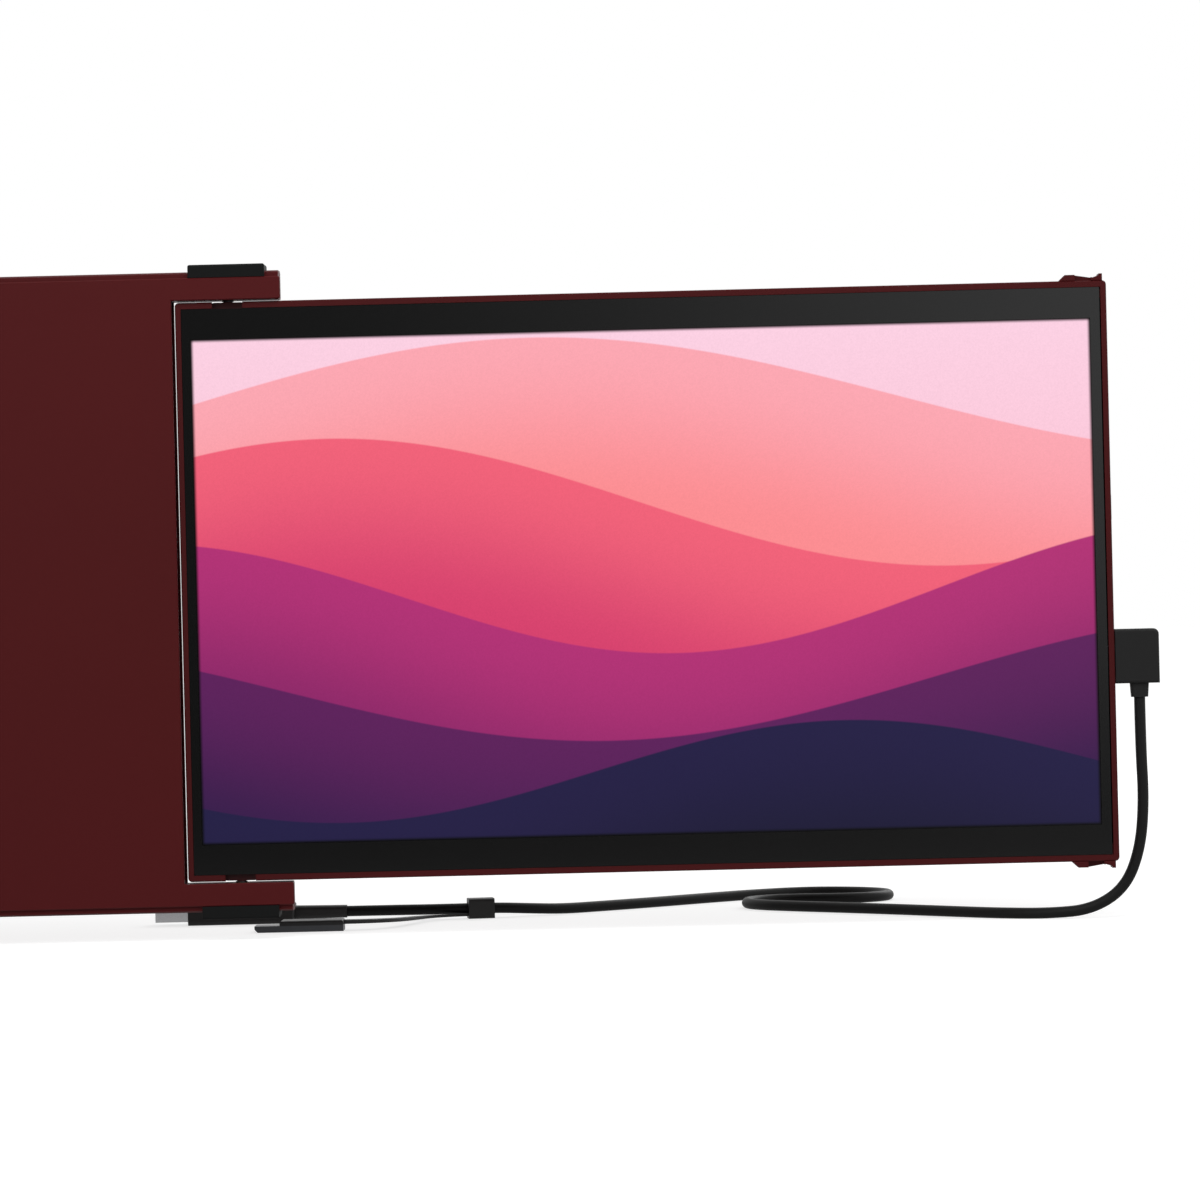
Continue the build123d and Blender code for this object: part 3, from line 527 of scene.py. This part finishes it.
def drum(top_radius, foot_radius, height, top):
    """A closed drum or cone whose top is at a height."""
    body = add(screw_tree, "GeometryNodeMeshCone", {
        "Radius Top": top_radius, "Radius Bottom": foot_radius, "Depth": height, "Vertices": SCREW_SIDES,
    })
    foot = add(screw_tree, "ShaderNodeMath", {0: top, 1: height}, operation="SUBTRACT")
    lift = add(screw_tree, "ShaderNodeCombineXYZ", {"Z": foot})
    return add(screw_tree, "GeometryNodeTransform", {"Geometry": body, "Translation": lift})


head_radius, shank_radius, rim_height = size["Head Radius"], size["Shank Radius"], size["Rim Height"]
# heights are counted from the top of the head, and each of these starts or stops at the rim's lower end
under_rim, cone_height, shank_length = (
    add(screw_tree, "ShaderNodeMath", {0: height, 1: rim_height}, operation="SUBTRACT")
    for height in (0.0, size["Head Height"], size["Length"])
)
rim = drum(head_radius, head_radius, rim_height, 0.0)
cone = drum(head_radius, shank_radius, cone_height, under_rim)
shank = drum(shank_radius, shank_radius, shank_length, under_rim)
screw = add(screw_tree, "GeometryNodeMeshBoolean", operation="UNION", solver="EXACT")
for part in (rim, cone, shank):
    screw_tree.links.new(part.outputs[0], screw.inputs["Mesh 2"])
print("nodes in the solid screw:", len(screw_tree.nodes))

# %% The cross in its head
crossed = add(
    screw_tree, "GeometryNodeMeshBoolean", {"Mesh 1": screw}, operation="DIFFERENCE", solver="EXACT",
)
# half of each block stands over the head, so it is twice as tall as the cross is deep
block_height = add(screw_tree, "ShaderNodeMath", {0: size["Cross Depth"], 1: 2.0}, operation="MULTIPLY")
for along, across in (("X", "Y"), ("Y", "X")):
    block_size = add(screw_tree, "ShaderNodeCombineXYZ", {
        along: size["Cross Length"], across: size["Cross Width"], "Z": block_height,
    })
    block = add(screw_tree, "GeometryNodeMeshCube", {"Size": block_size})
    screw_tree.links.new(block.outputs["Mesh"], crossed.inputs["Mesh 2"])
print("nodes with the cross:", len(screw_tree.nodes))

# %% A copy of it on every point
def on_points(tree, shape, points, finish):
    """Ends a tree: a real copy on every point, its Z along the point's facing, scaled by its stretch."""
    facing, stretch = (
        add(tree, "GeometryNodeInputNamedAttribute", {"Name": name}, data_type="FLOAT_VECTOR")
        for name in ("facing", "stretch")
    )
    turn = add(tree, "FunctionNodeAlignRotationToVector", {"Vector": facing}, axis="Z")
    copies = add(tree, "GeometryNodeInstanceOnPoints", {
        "Points": points, "Instance": shape, "Rotation": turn, "Scale": stretch,
    })
    real = add(tree, "GeometryNodeRealizeInstances", {"Geometry": copies})
    dressed = add(tree, "GeometryNodeSetMaterial", {"Geometry": real, "Material": finish})
    add(tree, "NodeGroupOutput", {"Geometry": dressed})


on_points(screw_tree, crossed, size["Geometry"], size["Finish"])
print("nodes in the whole tree:", len(screw_tree.nodes))

# %% From points to a plain mesh
def grown(name, tree, places, facings, stretches, values):
    """The plain mesh that a tree makes on a set of points, as a piece with its place in its mesh."""
    points = bpy.data.meshes.new(name + "_points")
    points.from_pydata(places, [], [])
    for mark, vectors in (("facing", facings), ("stretch", stretches)):
        attribute = points.attributes.new(mark, "FLOAT_VECTOR", "POINT")
        for entry, vector in zip(attribute.data, vectors):
            entry.vector = vector
    seed = linked(name + "_points", points)
    modifier = seed.modifiers.new("grow", "NODES")
    modifier.node_group = tree
    for item in tree.interface.items_tree:
        if item.in_out == "INPUT" and item.name in values:
            modifier[item.identifier] = values[item.name]
    evaluated = seed.evaluated_get(bpy.context.evaluated_depsgraph_get())
    mesh = bpy.data.meshes.new_from_object(evaluated)
    mesh.name = name
    bpy.data.objects.remove(seed)
    print(f"{name}: {len(places)} copies, {len(mesh.polygons)} faces")
    return linked(name, mesh)


SCREW = {
    "Head Radius": 1.7 * MM, "Head Height": 1.0 * MM, "Rim Height": 0.33 * MM, "Shank Radius": 0.9 * MM,
    "Length": 6.0 * MM, "Cross Length": 1.9 * MM, "Cross Width": 0.42 * MM, "Cross Depth": 0.6 * MM,
    # steel, heat treated and blackened: dark, but lighter than the pins, because tools have worn it
    "Finish": metal("blackened screw steel", "#48484A", 0.34, 0.4 * MM),
}
print("screw's length in mm:", SCREW["Length"] / MM)

# %% The caps' screws and the back sheet's screws
BACK_SCREWS_IN_A_ROW = 4
UNSTRETCHED = (1, 1, 1)
head = SCREW["Head Radius"]

low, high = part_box("cap_screws")
columns = (low[0] + head, high[0] - head)
depth_of_row = (low[1] + high[1]) / 2
cap_places = [(x, depth_of_row, z) for x in columns for z in (low[2], high[2])]
cap_facings = [(0, 0, -1 if place[2] < 0 else 1) for place in cap_places]

low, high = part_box("rear_panel_screws")
step = (high[0] - low[0] - 2 * head) / (BACK_SCREWS_IN_A_ROW - 1)
rows = (low[2] + head, high[2] - head)
back_places = [(low[0] + head + i * step, high[1], z) for i in range(BACK_SCREWS_IN_A_ROW) for z in rows]
for name, node, places, facings in (
    ("cap_cross_screws", "cap_screws", cap_places, cap_facings),
    ("back_cross_screws", "rear_panel_screws", back_places, [(0, 1, 0)] * len(back_places)),
):
    piece = grown(name, screw_tree, places, facings, [UNSTRETCHED] * len(places), SCREW)
    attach(piece, "sleeve")
    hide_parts(node)

# %% [markdown]
# ## Inside the laptop's plug
#
# In the mouth of the plug's shell sits a black block of insulating plastic with four gilded contacts on its
# lower face. The two outer ones carry power and reach further forward, so that they touch first. The block
# is one bevelled box, made by hand with bmesh. The contacts are one short bar each, put on four points by
# a tree, and each point says how long its bar is.

# %% The insulating block
SHELL_WALL = 0.35 * MM
PROUD = 0.02 * MM  # how far the block stands over the shell's own filling, so that it covers it
BLOCK_EDGE = 0.15 * MM

low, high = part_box("far_plug_shell")
middle = (low + high) / 2
block_low = Vector((low[0] + SHELL_WALL - PROUD, low[1] + SHELL_WALL, middle[2] - PROUD))
block_high = Vector((high[0] - SHELL_WALL, high[1] - SHELL_WALL, high[2] - SHELL_WALL + PROUD))
builder = bmesh.new()
bmesh.ops.create_cube(builder, size=1.0)
bmesh.ops.scale(builder, vec=block_high - block_low, verts=builder.verts)
bmesh.ops.translate(builder, vec=(block_low + block_high) / 2, verts=builder.verts)
mouth_edges = [edge for edge in builder.edges if all(v.co.x < middle[0] for v in edge.verts)]
bmesh.ops.bevel(builder, geom=mouth_edges, offset=BLOCK_EDGE, segments=2, affect="EDGES")
block_mesh = bpy.data.meshes.new("far_plug_insulator")
builder.to_mesh(block_mesh)
builder.free()
insulator = linked("far_plug_insulator", block_mesh)
# PBT, injection moulded with glass fibre: black and dull
dull_black = moulded("glass-filled PBT insulator", "#111112", "#0D0D0E", 0.55, 0.4 * MM, 0.01 * MM, 0.3)
block_mesh.materials.append(dull_black)
print("block in mm:", [round(c / MM, 2) for c in block_high - block_low])

# %% The contacts
CONTACT = {
    "Length": 1.0 * MM, "Width": 1.0 * MM, "Thickness": 0.12 * MM,
    # brass under a flash of gold: a warm mirror, a little worn by the socket
    "Finish": metal("gold flash on brass", "#D8B25C", 0.26, 0.3 * MM),
}
OUTER_CONTACTS, INNER_CONTACTS = 3.5 * MM, 1.0 * MM  # from the plug's middle
OUTER_GAP, INNER_GAP = 0.9 * MM, 1.9 * MM  # from the block's front edge

contact_tree, size = new_tree("plug_contacts", ("Length", "Width", "Thickness"))
bar_sides = {"X": size["Length"], "Y": size["Width"], "Z": size["Thickness"]}
bar_size = add(contact_tree, "ShaderNodeCombineXYZ", bar_sides)
bar = add(contact_tree, "GeometryNodeMeshCube", {"Size": bar_size})
on_points(contact_tree, bar, size["Geometry"], size["Finish"])

places, stretches = [], []
for off_middle, gap in ((OUTER_CONTACTS, OUTER_GAP), (INNER_CONTACTS, INNER_GAP)):
    front = block_low[0] + gap
    for side in (-1, 1):
        places.append(((front + block_high[0]) / 2, middle[1] + side * off_middle, block_low[2]))
        stretches.append(((block_high[0] - front) / CONTACT["Length"], 1, 1))
contacts = grown("far_plug_contacts", contact_tree, places, [(0, 0, 1)] * len(places), stretches, CONTACT)
for piece, slot in ((insulator, "moulding"), (contacts, "plated")):
    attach(piece, "monitor")

# %% [markdown]
# ## Pieces on the cord
#
# A real cord bends and can be laid again, which no rigid piece can. Here the pieces on it are only counted.

# %% The cord and all that is on it
print("pieces on the cord:", len(ON_THE_CORD) + 2)

# %% [markdown]
# ## Lit picture
#
# The panel glows with a picture: broad soft waves that run from plum and magenta to coral and pale pink,
# with the faint grain of a matt screen. Each wave is one curve, height against width, and a colour that
# fades away below its crest. Stacking them in order, each over the last, needs no image at all.

# %% Where a point lies in the picture
PICTURE_LEFT, PICTURE_RIGHT = 141.55 * MM, 453.75 * MM
PICTURE_BOTTOM, PICTURE_TOP = -87.9 * MM, 87.7 * MM

picture, tree = new_material("lit picture on a matt panel")
place = add(tree, "ShaderNodeTexCoord").outputs["Object"]
split = add(tree, "ShaderNodeSeparateXYZ", {"Vector": place}).outputs
across, up = (
    add(tree, "ShaderNodeMapRange", {"Value": split[axis], "From Min": starts, "From Max": ends})
    for axis, starts, ends in (("X", PICTURE_LEFT, PICTURE_RIGHT), ("Z", PICTURE_BOTTOM, PICTURE_TOP))
)

# %% The waves
SKY_TOP, SKY_LOW = "#FFD3E6", "#FFB3C4"
CREST_SOFT = 0.004  # shares of the picture's height
FADES_WITHIN = 0.34
# the crest's mean height, how far it swings, waves across, phase, colour at the crest, colour below it
WAVES = [
    (0.86, 0.13, 0.62, 0.1, "#FFA9B4", "#FF8E93"),
    (0.66, 0.14, 0.72, 0.9, "#F4627A", "#D9406E"),
    (0.48, 0.12, 0.84, 1.9, "#B43076", "#8A2468"),
    (0.30, 0.11, 0.70, 2.7, "#5E1E5C", "#33194A"),
    (0.13, 0.09, 0.90, 3.8, "#221C45", "#15142E"),
]

sky = {"Factor": up, "A": colour(SKY_LOW), "B": colour(SKY_TOP)}
shade = add(tree, "ShaderNodeMix", sky, data_type="RGBA")
for mean, swing, count, phase, crest, below in WAVES:
    turns = {0: across, 1: 2 * math.pi * count, 2: phase}
    angle = add(tree, "ShaderNodeMath", turns, operation="MULTIPLY_ADD")
    sine = add(tree, "ShaderNodeMath", {0: angle}, operation="SINE")
    wave = add(tree, "ShaderNodeMath", {0: sine, 1: swing}, operation="MULTIPLY")
    height = add(tree, "ShaderNodeMath", {0: wave, 1: mean}, operation="ADD")
    depth = add(tree, "ShaderNodeMath", {0: height, 1: up}, operation="SUBTRACT")
    fade, inside = (
        add(tree, "ShaderNodeMapRange", {"Value": depth, "From Max": reach}, interpolation_type="SMOOTHSTEP")
        for reach in (FADES_WITHIN, CREST_SOFT)
    )
    tones = {"Factor": fade, "A": colour(crest), "B": colour(below)}
    body = add(tree, "ShaderNodeMix", tones, data_type="RGBA")
    shade = add(tree, "ShaderNodeMix", {"Factor": inside, "A": shade, "B": body}, data_type="RGBA")
print("waves:", len(WAVES))

# %% Grain and soft edges
SPARKLE = 0.5 * MM
SPARKLE_DIM, SPARKLE_BRIGHT = 0.9, 1.03
EDGE_SOFT = 1.4 * MM

sparkle = add(tree, "ShaderNodeTexNoise", {"Vector": place, "Scale": 1 / SPARKLE, "Detail": 1.0})
level = add(tree, "ShaderNodeMapRange", {"Value": sparkle, "To Min": SPARKLE_DIM, "To Max": SPARKLE_BRIGHT})
for axis, low_side, high_side in (("X", PICTURE_LEFT, PICTURE_RIGHT), ("Z", PICTURE_BOTTOM, PICTURE_TOP)):
    from_low = add(tree, "ShaderNodeMath", {0: split[axis], 1: low_side}, operation="SUBTRACT")
    to_high = add(tree, "ShaderNodeMath", {0: high_side, 1: split[axis]}, operation="SUBTRACT")
    to_edge = add(tree, "ShaderNodeMath", {0: from_low, 1: to_high}, operation="MINIMUM")
    inside = add(
        tree, "ShaderNodeMapRange", {"Value": to_edge, "From Max": EDGE_SOFT},
        interpolation_type="SMOOTHSTEP",
    )
    level = add(tree, "ShaderNodeMath", {0: level, 1: inside}, operation="MULTIPLY")
print("nodes in the picture so far:", len(tree.nodes))

# %% The panel's own surface
PANEL_BLACK, PANEL_ROUGHNESS, PANEL_SPECULAR = "#050505", 0.3, 0.2

# matt film rolled on to black glass: nearly black where it is dark, with a wide soft gleam
surface = add(tree, "ShaderNodeBsdfPrincipled", {
    "Base Color": colour(PANEL_BLACK), "Roughness": PANEL_ROUGHNESS, "Specular IOR Level": PANEL_SPECULAR,
    "Emission Color": shade, "Emission Strength": level,
})
add(tree, "ShaderNodeOutputMaterial", {"Surface": surface})
dress(picture, "display_panel")
print("nodes in the picture:", len(tree.nodes))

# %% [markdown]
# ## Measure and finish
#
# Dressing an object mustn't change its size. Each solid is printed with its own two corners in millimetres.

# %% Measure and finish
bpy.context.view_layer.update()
for name in sorted(nodes):
    low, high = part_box(name)
    print(f"{name:22s}", *(f"{v * 1000:8.2f}" for v in (*low, *high)))
